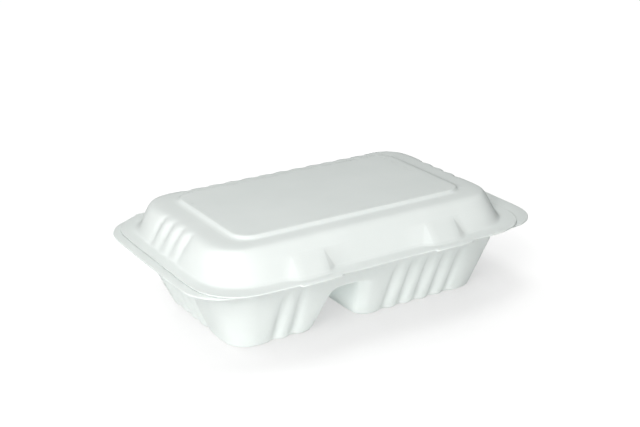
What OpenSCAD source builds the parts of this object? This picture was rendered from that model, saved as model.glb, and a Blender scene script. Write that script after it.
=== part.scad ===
// Two-compartment meal box pressed from sugarcane fibre, closed, standing on its tray.
// Every half is one thin sheet: an outer skin and an inner skin lofted through rings,
// joined along the rim. X runs along the box, the latches face -Y, Z is up.

/* [Box] */
// length over the tray flange
flange_len = 250; // [235:1:265]
// front edge of the tray flange, measured forward from the lid's centre
tray_front = 76; // [75:0.5:77.5]
// back edge of both flanges, measured backward from the lid's centre
back_edge = 69; // [68.5:0.5:72]
// corner radius of the tray flange at the front
flange_r = 27; // [22:1:28]
// corner radius of both flanges at the hinge side
back_r = 28; // [26:1:32]
// thickness of the pressed sheet
sheet = 1; // [0.6:0.1:1.2]
// height of the tray from the table to the underside of its flange
tray_h = 47.6; // [44:0.2:56]
// gap left between the two flanges when the box is shut
seam_gap = 0.3; // [0.2:0.05:0.6]

/* [Tray] */
// width of the tray flange at the left end
tray_end_flange = 10.8; // [8:0.2:13]
// width of the tray flange at the right end
tray_right_flange = 13.8; // [10:0.2:16]
// width of the tray flange at the front
tray_front_flange = 4.2; // [3.4:0.2:8]
// width of the tray flange at the back
tray_back_flange = 3.4; // [3:0.2:7]
// corner radius of the footprint
foot_r = 15; // [10:1:17]
// outward lean of the tray walls per millimetre of height
tray_draft = 0.42; // [0.34:0.01:0.44]
// height of the tunnel under the divider
tunnel_h = 30.5; // [24:0.5:34]
// left edge of the tunnel at the table
tunnel_left = -35; // [-42:0.5:-33]
// right edge of the tunnel at the table
tunnel_right = -4.7; // [-7:0.1:0]
// inward lean of each tunnel wall per millimetre of height
tunnel_draft = 0.18; // [0.08:0.01:0.22]
// drop of the rim of the tray flange
rim_drop = 0.3; // [0.1:0.1:1.2]

/* [Tray flutes] */
// spacing of the flutes
tray_pitch = 12.4; // [11:0.1:13]
// width of one flute
tray_flute_w = 8; // [6:0.2:9.4]
// depth of one flute
tray_flute_d = 2.3; // [1:0.1:3]
// centre of the two flutes on the small cup
small_centre = -58.4; // [-61:0.2:-57]
// centre of the five flutes on the large cup
large_centre = 40.2; // [38:0.2:43]
// centre of the four flutes on each end
end_centre = 4.4; // [-4:0.2:5]

/* [Lid] */
// how far the lid flange stands inside the tray flange at the left end
lid_inset = 5; // [3:0.2:7]
// how far the lid flange stands inside the tray flange at the right end
lid_right_inset = 13; // [8:0.2:14]
// how far the lid flange passes the tray flange at the front
lid_overhang = 5.4; // [3:0.2:8]
// width of the lid flange at each end
lid_end_flange = 7; // [5:0.2:12]
// width of the lid flange at the front
lid_front_flange = 8.2; // [5:0.2:12]
// width of the lid flange at the back
lid_back_flange = 4.8; // [3:0.2:6]
// corner radius of the lid flange at the front
lid_front_r = 30; // [26:1:34]
// height of the lid from its flange to the ledge round the top
lid_h = 16.5; // [14:0.1:24]
// corner radius of the flat top
top_r = 12.6; // [8:0.2:16]
// rounding between the top and the front and back walls
top_round = 6; // [4:0.2:7]
// rounding between the top and the end walls
end_round = 9; // [6:0.2:10]
// outward lean of the end walls
end_draft = 0.34; // [0.2:0.01:0.5]
// outward lean of the front wall
front_draft = 1.1; // [0.8:0.02:1.16]
// outward lean of the back wall
back_draft = 0.36; // [0.3:0.02:0.6]
// width of the ledge in front of and behind the raised panel
ledge = 7.4; // [5:0.2:12]
// width of the ledge beside the raised panel
ledge_end = 11.9; // [9:0.1:16]
// how far the top of the lid sits left of the box's middle
top_shift = 1.6; // [0:0.1:3]
// how far the raised panel sits left of the box's middle
panel_shift = 1.4; // [0:0.1:3]
// corner radius of the raised panel
panel_r = 12; // [6:0.5:18]
// rise of the panel over the ledge
panel_rise = 2; // [1:0.1:3]
// drop of the lid's front lip
lip_drop = 0.3; // [0.1:0.1:1.4]

/* [Lid flutes] */
// spacing of the lid flutes
lid_pitch = 12.5; // [11:0.1:12.8]
// spacing of the flutes on the ends of the lid
lid_end_pitch = 11.9; // [10:0.1:12.4]
// width of one lid flute
lid_flute_w = 7.6; // [5:0.2:9]
// depth of one lid flute
lid_flute_d = 2.6; // [1:0.1:3.4]
// centre of the four flutes on each end of the lid
lid_end_centre = 1; // [-3:0.5:3]

/* [Latches] */
// position of the left latch
latch_left = -53; // [-57:0.5:-48]
// position of the right latch
latch_right = 43; // [38:0.5:47]
// width of the latch boss where it meets the flange
boss_base_w = 35; // [30:0.5:37]
// width of the flat face of the boss at the flange
boss_face_w = 18.8; // [12:0.2:22]
// width of the boss at its top
boss_top_w = 22.6; // [20:0.2:27]
// how far the top of the boss stands right of its base
boss_lean = 3.4; // [-4:0.2:4]
// how far the boss stands out at the flange
boss_out = 5; // [3:0.2:6.4]
// height of the boss over the flange
boss_h = 9.2; // [7:0.2:11]
// how far the tab reaches past the flange
tab_out = 1.4; // [0.6:0.2:3]
// width of the tab
tab_w = 32; // [26:0.5:36]

/* [Hidden] */
pulp = "#f2f4f0";

// arc steps in each corner
n = 4;
// divider points between the two corners of a cup
m = 2;
// floor ring inset from the foot
floor_in = 6 * sheet;
// small radii of the two cups beside the divider, at the tunnel roof and at the foot
small_div_r = [4, 9] * sheet;
large_div_r = [9, 9.5] * sheet;

// heights that follow from the sizes above
tray_top = tray_h + sheet;
seat = tray_top + seam_gap;
lid_top = seat + sheet;
ledge_z = lid_top + lid_h;
lid_len = flange_len - lid_inset - lid_right_inset;
lid_mid = (lid_inset - lid_right_inset) / 2;
lid_front = tray_front + lid_overhang;
// half length of the fold at the back, and how far it reaches past the flanges
fold_half = flange_len / 2 - 26.5 * sheet;
fold_out = 1.6 * sheet;

function mix(a, b, t) = a + (b - a) * t;
function smooth(t) = let (c = min(1, max(0, t))) c * c * (3 - 2 * c);

// arc of n steps round c from angle a to angle b, a quarter circle unless b is given
function arc(c, r, a, b) = let (e = is_undef(b) ? a + 90 : b)
    [for (i = [0:n]) let (t = mix(a, e, i / n)) c + r * [cos(t), sin(t)]];

// end of a back corner's arc, as an angle from the side: where the fold begins on the flange
function corner_end(hx, r, fold) =
    fold > 0 ? min(90, acos((fold_half + sheet - hx + r) / r)) : 90;

// stations of a row of flutes: four points each, [position, share of the depth]
function flutes(count, pitch, w, centre) = [
    for (i = [0:count - 1], s = [[-0.5, 0], [-0.2, 1], [0.2, 1], [0.5, 0]])
        [centre + (i - (count - 1) / 2) * pitch + s[0] * w, s[1]]
];

// the same row drawn in about its middle, where needed, to lie between lo and hi
function squeezed(row, lo, hi) =
    let (a = row[0][0], b = row[len(row) - 1][0], c = (a + b) / 2, h = (b - a) / 2,
        k = min(1, (c - lo) / h, (hi - c) / h))
    [for (p = row) [c + (p[0] - c) * k, p[1]]];

function reversed(v) = [for (i = [len(v) - 1:-1:0]) v[i]];

// rings of the tray from the rim down: height, outset from the foot or undef on the flange,
// angle of the skin's normal below level, share of the flute depth
wall_a = atan(tray_draft);
root_z = tray_h - 2 * sheet;
flute_top = tray_h - 6.5 * sheet;
tray_rings = [
    [tray_h - rim_drop, 0, 90, 0],
    [tray_h, 1.4 * sheet, 90, 0],
    [tray_h, -1, 62, 0],
    [root_z, -2, wall_a, 0],
    [flute_top, -2, wall_a, 0],
    [tunnel_h + 3 * sheet, -2, wall_a, 0.75],
    [tunnel_h - sheet, -2, wall_a, 1],
    [tunnel_h - 4.5 * sheet, -2, wall_a, 1],
    [7 * sheet, -2, wall_a, 1],
    [2.2 * sheet, -3, 40, 1],
    [0.5 * sheet, -4, 66, 0.9],
    [0, -5, 90, 0.6],
    [0, -6, 90, 0]
];
crest_ring = 5;

// outset of the wall over the foot line at a height
function wall_out(z) = tray_draft * (z - sheet);

// outset of the rings that round the wall into the floor, and of the floor's own ring
foot_out = [0.4 * sheet, -0.5 * sheet, -2 * sheet, -2 * sheet - floor_in];

// growth of the front and back corner radii with height, and the flange root's outset
flare_r = [0.36, 0.14];
root_out = [2.4, 2.2, 1.4] * sheet;

// foot of the tray, carried down from the flange: [half length, front, back]
foot = [
    flange_len / 2 - tray_end_flange,
    tray_front - tray_front_flange,
    back_edge - tray_back_flange
] - root_out - [1, 1, 1] * wall_out(tray_h);

// half plan of one tray ring from its own cup: [outer end, front, back, front and back radius]
function tray_plan(k, s) =
    let (z = tray_rings[k][0], kind = tray_rings[k][1], grown = foot_r * [1, 1] + flare_r * z,
        steep = s > 0 ? 0 : (tray_right_flange - tray_end_flange) * z / tray_h)
    kind >= 0 ? [flange_len / 2 - kind, tray_front - kind, back_edge - kind,
        flange_r - kind, back_r - kind] :
    kind == -1 ? concat(foot + root_out + [1, 1, 1] * wall_out(z) - [steep, 0, 0],
        grown + 2 * sheet * [1, 1]) :
    let (o = kind == -2 ? wall_out(z) : foot_out[-3 - kind])
    concat(foot + [1, 1, 1] * o - [steep, 0, 0], [for (g = grown) max(2 * sheet, g + min(o, 0))]);

// divider side of a cup at ring k: [position, corner radius]; s is 1 left, -1 right
function div_plan(k, s) =
    let (z = tray_rings[k][0], kind = tray_rings[k][1],
        edge = s > 0 ? tunnel_left : -tunnel_right,
        rr = s > 0 ? small_div_r : large_div_r,
        roof = edge + tunnel_draft * tunnel_h,
        t = z / tunnel_h,
        o = kind == -3 ? 0.1 * sheet : kind < -3 ? -foot_out[-3 - kind] : 0)
    k == crest_ring + 1 ? [roof - 0.3 * sheet, rr[0]] :
    [edge + tunnel_draft * z - o - (k == crest_ring + 2 ? 0.6 * sheet : 0),
        max(2 * sheet, mix(rr[1], rr[0], t) - o * 0.5)];

// edge of the flat tunnel roof on a cup's side
function roof_u(s) = (s > 0 ? tunnel_left : -tunnel_right) + tunnel_draft * tunnel_h +
    (s > 0 ? 2.4 : 2) * sheet;

// stations on the long and short sides, in the cup's own direction
function side_long(s) = s > 0 ? flutes(2, tray_pitch, tray_flute_w, small_centre) :
    [for (p = reversed(flutes(5, tray_pitch, tray_flute_w, large_centre))) [-p[0], p[1]]];
side_end = flutes(4, tray_pitch * 0.97, tray_flute_w, end_centre);

// one ring of half a tray; q is 0 for the outer skin and 1 for the inner one
function tray_ring(k, s, q) =
    let (row = tray_rings[k], a = row[2], g = row[3] * tray_flute_d,
        pl = tray_plan(k, s),
        ins = q * sheet * cos(a),
        x0 = -pl[0] + ins, y0 = -pl[1] + ins, y1 = pl[2] - ins,
        r = max(sheet, pl[3] - ins), rb = max(sheet, pl[4] - ins),
        z = row[0] + q * sheet * sin(a),
        dv = div_plan(k, s), xd = dv[0] - ins, rd = max(sheet, dv[1] - ins),
        cut = k <= crest_ring, u = cut ? roof_u(s) : xd - rd,
        fold = k <= 1 ? fold_out : 0, e = (fold > 0 ? 0.6 : 2.4) * sheet,
        be = corner_end(-x0, rb, fold), end = -x0 - rb + rb * cos(be),
        long = squeezed(side_long(s), max(x0 + r, 2 * e - end) + sheet, u - sheet),
        side = squeezed(side_end, y0 + r + sheet, y1 - rb - sheet))
    concat(
        [[u, y1, z]],
        [for (p = reversed(long)) [p[0], y1 - g * p[1], z]],
        [[-end + 2 * e, y1 + fold, z], [-end + e, y1 + fold * 0.6, z]],
        [for (p = arc([x0 + rb, y1 - rb], rb, 180 - be, 180)) [p[0], p[1], z]],
        [for (p = reversed(side)) [x0 + g * p[1], p[0], z]],
        [for (p = arc([x0 + r, y0 + r], r, 180)) [p[0], p[1], z]],
        [for (p = long) [p[0], y0 + g * p[1], z]],
        [[u, y0, z]],
        k < crest_ring ? [] : k == crest_ring ? crest(s, q, y0, y1, z) :
            cup_side(xd, y0, y1, rd, z)
    );

// divider side of a cup ring without its two end points
function cup_side(xd, y0, y1, rd, z) = concat(
    [for (i = [1:n]) let (p = arc([xd - rd, y0 + rd], rd, 270)[i]) [p[0], p[1], z]],
    [for (i = [1:m]) [xd, mix(y0 + rd, y1 - rd, i / (m + 1)), z]],
    [for (i = [0:n - 1]) let (p = arc([xd - rd, y1 - rd], rd, 0)[i]) [p[0], p[1], z]]
);

// crest of the divider: drops from the wall to the roof of the tunnel in a short fillet
function crest(s, q, y0, y1, z) =
    let (u = roof_u(s), zc = tunnel_h + q * sheet, d = [1.2, 3, 6, 10] * sheet)
    concat(
        [for (i = [0:n - 1]) [u, y0 + d[i], mix(z, zc, smooth((i + 1.6) / (n - 0.6)))]],
        [for (i = [1:m]) [u, mix(y0 + d[n - 1], y1 - d[n - 1], i / (m + 1)), zc]],
        [for (i = [n - 1:-1:0]) [u, y1 - d[i], mix(z, zc, smooth((i + 1.6) / (n - 0.6)))]]
    );

function mirrored(v, s) = [for (p = v) [s * p[0], p[1], p[2]]];
function flat(v) = [for (a = v, b = a) b];
function turned(f, flip) = flip ? [for (a = f) reversed(a)] : f;

// two triangles of a quad given by its corners in order
function tri2(a, b, c, d) = [[a, b, c], [a, c, d]];

last = len(tray_rings) - 1;

// points of one skin: the left half's rings, its floor centre, then the right half's
function skin_half(s, q) =
    let (r = tray_ring(last, s, q),
        c = [for (i = [0:2]) (min([for (p = r) p[i]]) + max([for (p = r) p[i]])) / 2])
    mirrored(concat(flat([for (k = [0:last]) tray_ring(k, s, q)]), [c]), s);

open_n = [for (s = [1, -1]) len(tray_ring(0, s, 0))];
loop_n = [for (s = [1, -1]) len(tray_ring(last, s, 0))];
function ring_at(h, k) = k <= crest_ring ? k * open_n[h] :
    crest_ring * open_n[h] + (k - crest_ring) * loop_n[h];
half_n = [for (h = [0, 1]) ring_at(h, last + 1) + 1];
skin_n = half_n[0] + half_n[1];

// faces of one half, wound for the left half's outer skin
function half_faces(h, b) = concat(
    [for (k = [0:last - 1], i = [0:(k < crest_ring ? open_n[h] - 2 : loop_n[h] - 1)])
        let (nn = k < crest_ring ? open_n[h] : loop_n[h], j = (i + 1) % nn,
            u = b + ring_at(h, k), v = b + ring_at(h, k + 1))
        each tri2(u + i, v + i, v + j, u + j)],
    [for (i = [0:loop_n[h] - 1])
        let (v = b + ring_at(h, last), c = b + half_n[h] - 1)
        [v + i, c, v + (i + 1) % loop_n[h]]]
);

// faces that join the two halves: the strips over the tunnel's two mouths and its roof
function bridge_faces(b) =
    let (p = open_n[0], r = open_n[1], c = b + half_n[0])
    concat(
        [for (k = [0:crest_ring - 1])
            let (u = b + ring_at(0, k), v = b + ring_at(0, k + 1),
                x = c + ring_at(1, k), y = c + ring_at(1, k + 1))
            each concat(tri2(u + p - 1, v + p - 1, y + r - 1, x + r - 1), tri2(u, x, y, v))],
        [for (i = [0:loop_n[0] - p])
            let (u = b + ring_at(0, crest_ring), x = c + ring_at(1, crest_ring),
                ni = loop_n[0], nx = loop_n[1])
            each tri2(u + p - 1 + i, u + (p + i) % ni, x + (r + i) % nx, x + r - 1 + i)]
    );

function skin_faces(b) = concat(half_faces(0, b), turned(half_faces(1, b + half_n[0]), true),
    bridge_faces(b));

// rim band between the outer skin at 0 and the inner skin at w
function rim_faces(w) =
    let (p = open_n[0], r = open_n[1], c = half_n[0])
    concat(
        [for (i = [0:p - 2]) each tri2(i, i + 1, w + i + 1, w + i)],
        [for (i = [0:r - 2]) each tri2(c + i + 1, c + i, w + c + i, w + c + i + 1)],
        tri2(p - 1, c + r - 1, w + c + r - 1, w + p - 1),
        tri2(c, 0, w, w + c)
    );

module tray() {
    color(pulp)
    polyhedron(
        points = concat(skin_half(1, 0), skin_half(-1, 0), skin_half(1, 1), skin_half(-1, 1)),
        faces = concat(turned(skin_faces(0), true), skin_faces(skin_n),
            turned(rim_faces(skin_n), true))
    );
}

// lean and rounding of the end, front and back walls
lid_lean = [end_draft, front_draft, back_draft];
lid_round = [end_round, top_round, top_round];

// outset of wall i from the flat top at a depth d below the ledge: a round, then the lean
function lid_out(i, d) =
    let (lean = lid_lean[i], rr = lid_round[i], th = 90 - atan(lean), fall = rr * (1 - cos(th)))
    d <= 0 ? 0 : d < fall ? rr * sin(acos(1 - d / rr)) : rr * sin(th) + lean * (d - fall);

// angle of the lid skin's normal above level at that depth
function lid_angle(d) =
    let (th = 90 - atan(end_draft), fall = end_round * (1 - cos(th)))
    d <= 0 ? 90 : d < fall ? 90 - acos(1 - d / end_round) : atan(end_draft);

// height of the flare at the foot of the wall, and run of the step up to the panel
flare_h = 2.6 * sheet;
step_run = 1.6 * sheet;

// rings of the lid from the rim up: kind, depth below the ledge, share of the flute depth,
// share of the boss height; kinds: 0 flange, -1 flange root, 1 flare, 2 wall, 3 ledge and panel
lid_rings = [
    [0, 0, 0],
    [0, 1.2 * sheet, 0],
    [-1, 0, 0],
    [1, flare_h, 0],
    [1, 0, 0.7],
    [2, lid_h - boss_h, 1],
    [2, flare_h, 1],
    [2, 0.8 * sheet, 0.7],
    [2, 0, 0.25],
    [3, 0, 0],
    [3, step_run, 0]
];
lid_last = len(lid_rings) - 1;
flare_d = lid_h - flare_h;

// flange root's outset from the end, front and back walls
lid_root = [2.4, 3.2, 3] * sheet;

// flat top, carried up from the flange: [half length, front, back]
top = [
    lid_len / 2 - lid_end_flange,
    lid_front - lid_front_flange,
    back_edge - lid_back_flange
] - lid_root - [for (i = [0:2]) lid_out(i, flare_d)];

// plan of one lid ring: [half length, front, back, front radius, back radius, height, angle]
function lid_plan(k) =
    let (kind = lid_rings[k][0], v = lid_rings[k][1],
        d = kind == 2 ? v : flare_d,
        o = [for (i = [0:2]) lid_out(i, d)], w = top + o,
        r = top_r + 1.35 * o[0], rb = top_r + 1.5 * o[0], pr = max(2 * sheet, panel_r - v))
    kind == 0 ? [lid_len / 2 - v, lid_front - v, back_edge - v, lid_front_r - v, back_r - v,
        lid_top, 90] :
    kind == -1 ? concat(w + lid_root, [r + 2 * sheet, rb, lid_top, 90]) :
    kind == 1 ? concat(w + v * [0.5, 0.6, 0.6], [r + v * 0.5, rb + v * 0.4,
        ledge_z - flare_d - (v > 0 ? 1.7 * sheet : 0), v > 0 ? 55 : atan(end_draft)]) :
    kind == 2 ? concat(w, [r, rb, ledge_z - d, lid_angle(d)]) :
    concat(top - [ledge_end + v, ledge + v, ledge + v],
        [pr, pr, ledge_z + (v > 0 ? panel_rise : 0), v > 0 ? 72 : 80]);

// middle of lid ring k along the box
function lid_middle(k) =
    let (kind = lid_rings[k][0])
    kind == 3 ? -panel_shift :
    kind == 2 ? mix(-top_shift, lid_mid, max(0, lid_rings[k][1]) / flare_d) : lid_mid;

// latch bosses at ring k: [half base, half face, reach, drop, lean]
function boss(k) =
    let (z = lid_plan(k)[5], c = max(0, (boss_h - (z - lid_top)) / boss_h))
    k < 2 ? [tab_w / 2, tab_w / 2 - 1.6 * sheet, tab_out, k == 0 ? 0.6 * sheet : 0, 0] :
    [mix(boss_top_w, boss_base_w, c) / 2, mix(boss_top_w - 1.2 * sheet, boss_face_w, c) / 2,
        boss_out * c, 0, boss_lean * (1 - c)];

// how far the front lip of the rim hangs at a place along the box
function lip(x) =
    lip_drop * smooth((lid_len / 2 - lid_front_r + 3 * sheet - abs(x - lid_mid)) / (9 * sheet));

function lid_ring(k, q) =
    let (pl = lid_plan(k), a = pl[6], g = lid_rings[k][2] * lid_flute_d,
        ins = q * sheet * cos(a), z = pl[5] - q * sheet * sin(a),
        mid = lid_middle(k),
        x0 = mid - pl[0] + ins, x1 = mid + pl[0] - ins, y0 = -pl[1] + ins, y1 = pl[2] - ins,
        rf = max(sheet, pl[3] - ins), rb = max(sheet, pl[4] - ins),
        fold = k <= 1 ? fold_out : 0, dip = k == 0 ? 1 : 0, b = boss(k),
        e = (fold > 0 ? 0.6 : 3) * sheet,
        bl = corner_end(-x0, rb, fold), left = x0 + rb - rb * cos(bl),
        br = corner_end(x1, rb, fold), right = x1 - rb + rb * cos(br),
        backs = squeezed(flutes(12, lid_pitch, lid_flute_w, 0), left + 2 * e + sheet,
            right - 2 * e - sheet),
        ends = squeezed(flutes(4, lid_end_pitch, lid_flute_w, lid_end_centre),
            y0 + rf + sheet, y1 - rb - sheet))
    concat(
        [for (p = arc([x0 + rf, y0 + rf], rf, 180)) [p[0], p[1], z - dip * lip(p[0])]],
        [for (c = [latch_left, latch_right], s = [[-b[0], 0], [-b[1], 1], [b[1], 1], [b[0], 0]])
            [c + b[4] + s[0], y0 - b[2] * s[1], z - dip * lip(c + s[0]) - b[3] * s[1]]],
        [for (p = arc([x1 - rf, y0 + rf], rf, 270)) [p[0], p[1], z - dip * lip(p[0])]],
        [for (p = ends) [x1 - g * p[1], p[0], z]],
        [for (p = arc([x1 - rb, y1 - rb], rb, 0, br)) [p[0], p[1], z]],
        [[right - e, y1 + fold * 0.6, z], [right - 2 * e, y1 + fold, z]],
        [for (p = reversed(backs)) [p[0], y1 - g * p[1], z]],
        [[left + 2 * e, y1 + fold, z], [left + e, y1 + fold * 0.6, z]],
        [for (p = arc([x0 + rb, y1 - rb], rb, 180 - bl, 180)) [p[0], p[1], z]],
        [for (p = reversed(ends)) [x0 + g * p[1], p[0], z]]
    );

lid_n = len(lid_ring(0, 0));
lid_skin_n = (lid_last + 1) * lid_n + 1;
function lid_skin(q) = concat(flat([for (k = [0:lid_last]) lid_ring(k, q)]),
    [[0, 0, ledge_z + panel_rise - q * sheet]]);
function lid_faces(b) = concat(
    [for (k = [0:lid_last - 1], i = [0:lid_n - 1])
        let (u = b + k * lid_n, v = u + lid_n, j = (i + 1) % lid_n)
        each tri2(u + i, v + i, v + j, u + j)],
    [for (i = [0:lid_n - 1])
        let (v = b + lid_last * lid_n)
        [v + i, b + lid_skin_n - 1, v + (i + 1) % lid_n]]
);

module lid() {
    color(pulp)
    polyhedron(
        points = concat(lid_skin(0), lid_skin(1)),
        faces = concat(lid_faces(0), turned(lid_faces(lid_skin_n), true),
            [for (i = [0:lid_n - 1]) let (j = (i + 1) % lid_n)
                each tri2(i, j, lid_skin_n + j, lid_skin_n + i)])
    );
}

tray();
lid();
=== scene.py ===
# %% [markdown]
# A meal box pressed from sugarcane fibre: one thin sheet of pulp, formed wet into a fluted tray
# with two cups and a fluted lid, and folded along the back. The construction model already has
# every ring and flute of the two halves. This file gives them the soft, rounded skin of pressed
# pulp, joins them with the fold, and lights them for a plain studio picture.

# %% Load the construction model
import math
import bmesh
import bpy
from mathutils import Matrix, Vector


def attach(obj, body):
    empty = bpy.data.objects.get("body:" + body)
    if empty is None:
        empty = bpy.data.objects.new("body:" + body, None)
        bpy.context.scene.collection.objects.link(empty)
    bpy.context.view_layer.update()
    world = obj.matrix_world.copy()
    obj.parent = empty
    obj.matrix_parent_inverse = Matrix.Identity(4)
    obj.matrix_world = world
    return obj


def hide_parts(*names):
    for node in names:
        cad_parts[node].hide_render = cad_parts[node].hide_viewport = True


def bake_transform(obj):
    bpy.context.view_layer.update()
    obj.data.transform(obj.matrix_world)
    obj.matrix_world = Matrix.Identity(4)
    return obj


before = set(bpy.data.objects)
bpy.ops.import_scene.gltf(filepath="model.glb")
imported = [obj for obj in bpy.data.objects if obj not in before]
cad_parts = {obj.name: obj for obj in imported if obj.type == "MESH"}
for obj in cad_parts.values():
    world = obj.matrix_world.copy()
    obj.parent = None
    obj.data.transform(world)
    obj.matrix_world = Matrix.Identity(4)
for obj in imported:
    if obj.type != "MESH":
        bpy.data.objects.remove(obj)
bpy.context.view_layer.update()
MM = 0.001

# %% [markdown]
# A pressed sheet has no sharp corner anywhere, because the wet pulp bridges every one. A control
# cage with few faces and a Subdivision Surface on top gives just that. The construction model's
# own mesh makes a good cage once its triangles are paired up again into the four-sided faces of
# its rings, so a copy of it is merged and joined. The alternative, bevelling each edge, would
# leave the flutes flat-faced.

# %% A control cage from a construction node
def cage_from(node, name):
    bm = bmesh.new()
    bm.from_mesh(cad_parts[node].data)
    bmesh.ops.remove_doubles(bm, verts=bm.verts, dist=0.01 * MM)
    bmesh.ops.join_triangles(bm, faces=bm.faces, angle_face_threshold=math.radians(60),
                             angle_shape_threshold=math.radians(120))
    # the flat middles are fans round one point: one face each, with a narrow frame to hold it flat
    hubs = [v for v in bm.verts if len(v.link_edges) > 24]
    bmesh.ops.dissolve_verts(bm, verts=hubs)
    middles = [f for f in bm.faces if len(f.verts) > 24]
    bmesh.ops.inset_individual(bm, faces=middles, thickness=3 * MM, use_even_offset=True)
    if node == "lid":
        finish_lid_cage(bm)
    crease_edges(bm)
    left = sum(len(f.verts) == 3 for f in bm.faces)
    print(name, "cage:", len(bm.faces), "faces,", left, "of them triangles")
    return bm


# %% [markdown]
# Creases tell the subdivision where the mould had an edge: the step up to the panel, the roots of
# the walls, the latch bosses and their tabs. The flutes get none, so they come out as waves.

# %% Creases
latches = (-53 * MM, 43 * MM)
tab_middle = 1.2 * MM


def crease_edges(bm):
    layer = bm.edges.layers.float.get("crease_edge") or bm.edges.layers.float.new("crease_edge")
    count = 0
    for edge in bm.edges:
        if len(edge.link_faces) != 2:
            continue
        mid = (edge.verts[0].co + edge.verts[1].co) / 2
        run = edge.verts[1].co - edge.verts[0].co
        angle = math.degrees(edge.calc_face_angle(0))
        level = abs(run.z) < 0.2 * run.length
        boss = (min(abs(mid.x - c) for c in latches) < 19 * MM and mid.y < -60 * MM
                and mid.z > 50 * MM)
        tab = (min(abs(mid.x - c - tab_middle) for c in latches) < 15 * MM
               and mid.y < -79.5 * MM and 46 * MM < mid.z < 50.2 * MM)
        if boss and angle > 9:
            edge[layer] = 1.0
        elif tab:
            edge[layer] = 0.75
        elif level and angle > 38 and mid.z > 66 * MM and mid.x < 80 * MM:
            edge[layer] = 0.45
        elif (level and abs(mid.z - 49.4 * MM) < 0.6 * MM and abs(mid.x) < 116 * MM
              and 20 < angle < 80):
            edge[layer] = 0.6
        elif level and angle > 60:
            edge[layer] = 0.35
        else:
            continue
        count += 1
    print("  creased edges:", count)


# %% [markdown]
# Some points of the lid's cage move, most by a millimetre or less. The flutes of both ends keep
# one depth and run right down to the flange, where they scallop its root. Each latch tab ends
# sharply and lies nearly flat, and its left end comes in by 3 mm, which is the largest move. The
# underside of the front lip is tucked in, and the left edge of the flange is lifted a hair, which
# opens the seam that the photo shows there.

# %% Finishing the lid's cage
end_flutes = [(1 + (i - 1.5) * 11.9) * MM for i in range(4)]
groove_half = 2.2 * MM
shallower_low, shallower_high = 1.05 * MM, 0.65 * MM
root_scallop, flange_scallop = 1.0 * MM, 0.7 * MM
tab_root_left, tab_root_right = -12.9 * MM, 15.4 * MM
tab_tip_left, tab_tip_right = -12.3 * MM, 14.8 * MM
tab_reach, tab_under_reach, tab_rise = 0.9 * MM, 0.4 * MM, 0.35 * MM
lip_tuck, seam_lift = 0.8 * MM, 0.25 * MM


def finish_lid_cage(bm):
    deepened = hung = tucked = 0
    for v in bm.verts:
        x, y, z = v.co
        groove = min(abs(y - c) for c in end_flutes) < groove_half
        if groove and 98 * MM < abs(x) < 115 * MM and 48.4 * MM < z < 51.8 * MM:
            v.co.x -= math.copysign(root_scallop if z > 49.95 * MM else flange_scallop, x)
            deepened += 1
        elif groove and abs(x) > 97 * MM and z > 51.8 * MM:
            v.co.x += math.copysign(shallower_high if z > 63 * MM else shallower_low, x)
        for c in latches:
            side = x - c
            if y > -79.5 * MM or z > 50.2 * MM or abs(side) > 17 * MM:
                continue
            if abs(side) > 15.5 * MM:
                v.co.x = c + (tab_root_right if side > 0 else tab_root_left)
            else:
                v.co.x = c + (tab_tip_right if side > 0 else tab_tip_left)
                if y < -82 * MM:
                    v.co.y -= tab_reach if z > 48.5 * MM else tab_under_reach
                    v.co.z += tab_rise
            hung += 1
        if y < -80.9 * MM and z < 48.8 * MM and min(abs(x - c) for c in latches) > 17 * MM:
            v.co.y += lip_tuck
            tucked += 1
        if x < -118.5 * MM and z < 49 * MM and abs(y) < 62 * MM:
            v.co.z += seam_lift
    print("  flute points deepened:", deepened, " tab points moved:", hung,
          " lip points tucked in:", tucked)


# %% [markdown]
# A finished cage becomes a piece that rides its body, and a Subdivision Surface rounds it. The
# modifier stays live, with the same level in the viewport and in the render.

# %% From a cage to a piece
def piece_from(bm, name, body):
    mesh = bpy.data.meshes.new(name)
    bm.to_mesh(mesh)
    bm.free()
    mesh.shade_smooth()
    piece = bpy.data.objects.new(name, mesh)
    bpy.context.scene.collection.objects.link(piece)
    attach(piece, body)
    return piece


def soften(piece, levels):
    smooth = piece.modifiers.new("pressed", "SUBSURF")
    smooth.levels = smooth.render_levels = levels


# %% [markdown]
# The same steps make both halves, and each takes the place of its construction node.

# %% The two halves
tray = piece_from(cage_from("tray", "pressed_tray"), "pressed_tray", "tray")
soften(tray, 2)
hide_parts("tray")
lid = piece_from(cage_from("lid", "pressed_lid"), "pressed_lid", "lid")
soften(lid, 2)
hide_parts("lid")
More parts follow.
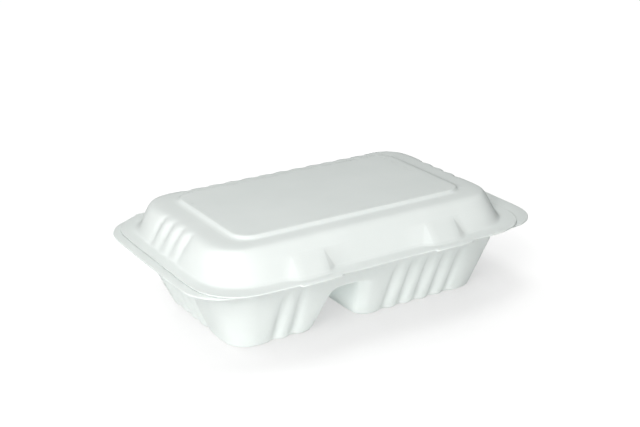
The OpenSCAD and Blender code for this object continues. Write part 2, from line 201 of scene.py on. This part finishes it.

# %% [markdown]
# The halves are one sheet, so a strip of the same pulp runs round the back from one flange to the
# other. It is thinner than they are, which makes it the hinge. Half a turn of a single point gives
# its section and an extrusion gives its length. It meets the tray on one side and the lid on the
# other, and is curved in between.

# %% The fold along the back
def fold_strip():
    low, high, back, half = 48.12 * MM, 49.38 * MM, 70.3 * MM, 98.2 * MM
    bm = bmesh.new()
    point = bmesh.ops.create_vert(bm, co=(-half, back, low))["vert"]
    middle = (-half, back, (low + high) / 2)
    bmesh.ops.spin(bm, geom=point, cent=middle, axis=(1, 0, 0), dvec=(0, 0, 0),
                   angle=math.pi, steps=8)
    side = bmesh.ops.extrude_edge_only(bm, edges=bm.edges)
    moved = [g for g in side["geom"] if isinstance(g, bmesh.types.BMVert)]
    bmesh.ops.translate(bm, verts=moved, vec=(2 * half, 0, 0))
    bmesh.ops.recalc_face_normals(bm, faces=bm.faces)
    mesh = bpy.data.meshes.new("fold")
    bm.to_mesh(mesh)
    bm.free()
    mesh.shade_smooth()
    strip = bpy.data.objects.new("fold", mesh)
    bpy.context.scene.collection.objects.link(strip)
    thick = strip.modifiers.new("sheet", "SOLIDIFY")
    thick.thickness = 0.5 * MM
    thick.offset = 0
    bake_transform(strip)
    print("fold: y reach", max(v.co.y for v in mesh.vertices))
    return strip


fold = fold_strip()

# %% [markdown]
# Bleached bagasse is an off-white that leans slightly to green. It is matt, and its surface is a
# felt of short fibres with soft, shallow unevenness under it. A fine noise drives a bump, and a
# second, wider noise shifts the colour by a few hundredths.

# %% Pulp
def pulp_material():
    mat = bpy.data.materials.new("pulp")
    mat.use_nodes = True
    nodes, links = mat.node_tree.nodes, mat.node_tree.links
    shader = nodes["Principled BSDF"]
    shader.inputs["Roughness"].default_value = 0.78
    shader.inputs["Specular IOR Level"].default_value = 0.35
    place = nodes.new("ShaderNodeTexCoord")
    cloud = nodes.new("ShaderNodeTexNoise")
    cloud.inputs["Scale"].default_value = 38
    cloud.inputs["Detail"].default_value = 4
    tone = nodes.new("ShaderNodeValToRGB")
    tone.color_ramp.elements[0].position = 0.3
    tone.color_ramp.elements[0].color = (0.788, 0.836, 0.820, 1)
    tone.color_ramp.elements[1].position = 0.7
    tone.color_ramp.elements[1].color = (0.812, 0.858, 0.843, 1)
    felt = nodes.new("ShaderNodeTexNoise")
    felt.inputs["Scale"].default_value = 900
    felt.inputs["Detail"].default_value = 3
    bump = nodes.new("ShaderNodeBump")
    bump.inputs["Strength"].default_value = 0.25
    bump.inputs["Distance"].default_value = 0.15 * MM
    links.new(place.outputs["Object"], cloud.inputs["Vector"])
    links.new(place.outputs["Object"], felt.inputs["Vector"])
    links.new(cloud.outputs["Fac"], tone.inputs["Fac"])
    links.new(tone.outputs["Color"], shader.inputs["Base Color"])
    links.new(felt.outputs["Fac"], bump.inputs["Height"])
    links.new(bump.outputs["Normal"], shader.inputs["Normal"])
    return mat


pulp = pulp_material()
for piece in (tray, lid, fold):
    piece.data.materials.clear()
    piece.data.materials.append(pulp)

# %% [markdown]
# The picture is a product shot on a white sweep. The floor is a plain pale sheet that glows a
# little, as a light table does. Only what the camera sees of it is lifted to white, through Light
# Path. Its soft shadow comes from Ambient Occlusion with a tilted normal, which pushes it to the
# front and to the right of the box.

# %% Floor
def white_floor():
    bm = bmesh.new()
    bmesh.ops.create_grid(bm, x_segments=1, y_segments=1, size=6)
    mesh = bpy.data.meshes.new("floor")
    bm.to_mesh(mesh)
    bm.free()
    floor = bpy.data.objects.new("floor", mesh)
    bpy.context.scene.collection.objects.link(floor)
    mat = bpy.data.materials.new("floor_white")
    mat.use_nodes = True
    nodes, links = mat.node_tree.nodes, mat.node_tree.links
    shader = nodes["Principled BSDF"]
    shader.inputs["Roughness"].default_value = 1.0
    shader.inputs["Specular IOR Level"].default_value = 0.0
    shader.inputs["Base Color"].default_value = (0.9, 0.9, 0.9, 1)
    glow = nodes.new("ShaderNodeEmission")
    glow.inputs["Strength"].default_value = 0.18
    bounce = nodes.new("ShaderNodeAddShader")
    links.new(shader.outputs["BSDF"], bounce.inputs[0])
    links.new(glow.outputs["Emission"], bounce.inputs[1])
    plain = nodes.new("ShaderNodeBsdfDiffuse")
    plain.inputs["Color"].default_value = (0.3, 0.3, 0.3, 1)
    near = nodes.new("ShaderNodeAmbientOcclusion")
    near.inputs["Distance"].default_value = 0.24
    near.samples = 16
    toward = nodes.new("ShaderNodeCombineXYZ")
    toward.inputs["X"].default_value = -0.22
    toward.inputs["Y"].default_value = 0.58
    toward.inputs["Z"].default_value = 0.78
    links.new(toward.outputs["Vector"], near.inputs["Normal"])
    shade = nodes.new("ShaderNodeMapRange")
    shade.inputs["To Min"].default_value = 0.45
    shade.inputs["To Max"].default_value = 0.91
    lift = nodes.new("ShaderNodeEmission")
    links.new(near.outputs["AO"], shade.inputs["Value"])
    links.new(shade.outputs["Result"], lift.inputs["Strength"])
    both = nodes.new("ShaderNodeAddShader")
    links.new(plain.outputs["BSDF"], both.inputs[0])
    links.new(lift.outputs["Emission"], both.inputs[1])
    seen = nodes.new("ShaderNodeLightPath")
    pick = nodes.new("ShaderNodeMixShader")
    links.new(seen.outputs["Is Camera Ray"], pick.inputs["Fac"])
    links.new(bounce.outputs["Shader"], pick.inputs[1])
    links.new(both.outputs["Shader"], pick.inputs[2])
    links.new(pick.outputs["Shader"], nodes["Material Output"].inputs["Surface"])
    mesh.materials.append(mat)
    return floor


floor = white_floor()

# %% [markdown]
# The light is a near, slightly warm softbox from the front left, a wide one from above and a weak
# one from behind. Near means that it falls off along the panel, as in the photo. A small upward
# lamp between the cups stands for what the white table sends into the tunnel.

# %% World and lamps
def studio_world(strength):
    world = bpy.data.worlds.new("studio")
    world.use_nodes = True
    bpy.context.scene.world = world
    nodes, links = world.node_tree.nodes, world.node_tree.links
    back = nodes["Background"]
    back.inputs["Color"].default_value = (1, 1, 1, 1)
    seen = nodes.new("ShaderNodeLightPath")
    level = nodes.new("ShaderNodeMix")
    level.inputs["A"].default_value = strength
    level.inputs["B"].default_value = 1.0
    links.new(seen.outputs["Is Camera Ray"], level.inputs["Factor"])
    links.new(level.outputs["Result"], back.inputs["Strength"])


def softbox(name, at, aim, size, power, tint=(1, 1, 1)):
    lamp = bpy.data.lights.new(name, "AREA")
    lamp.color = tint
    lamp.shape = "RECTANGLE"
    lamp.size, lamp.size_y = size
    lamp.energy = power
    box = bpy.data.objects.new(name, lamp)
    box.location = at
    box.rotation_euler = (Vector(aim) - Vector(at)).to_track_quat("-Z", "Y").to_euler()
    bpy.context.scene.collection.objects.link(box)
    return box


studio_world(0.0)
softbox("key", (-0.73, -0.69, 0.7), (0, 0, 0.03), (0.5, 0.5), 12.7, (1, 0.985, 0.975))
softbox("top", (0, 0, 2.2), (0, 0, 0.03), (0.8, 0.8), 15.5, (0.98, 1, 0.99))
softbox("rim", (1.23, 1.76, 0.46), (0, 0, 0.03), (0.8, 0.8), 3.5)
tunnel_x = -0.0198
softbox("tunnel", (tunnel_x, 0, 0.003), (tunnel_x, 0, 0.05), (0.022, 0.12), 0.003)

# %% [markdown]
# The camera was fitted to the corners that the photo shows: its lens in pixels of the frame, its
# place, and three angles. Azimuth turns it about Z, and elevation tips it down.

# %% Camera
lens_px, frame_px = 1139.65, 640
azimuth, elevation, roll = -32.592, 20.899, 0.056
cam_data = bpy.data.cameras.new("camera")
cam_data.sensor_width = 36
cam_data.lens = lens_px / frame_px * cam_data.sensor_width
camera = bpy.data.objects.new("camera", cam_data)
turn = (Matrix.Rotation(math.radians(azimuth), 3, "Z")
        @ Matrix.Rotation(math.radians(90 - elevation), 3, "X")
        @ Matrix.Rotation(math.radians(roll), 3, "Z"))
camera.rotation_euler = turn.to_euler()
camera.location = (-0.3707, -0.5782, 0.3150)
bpy.context.scene.collection.objects.link(camera)
bpy.context.scene.camera = camera
bpy.context.scene.view_settings.view_transform = "Standard"
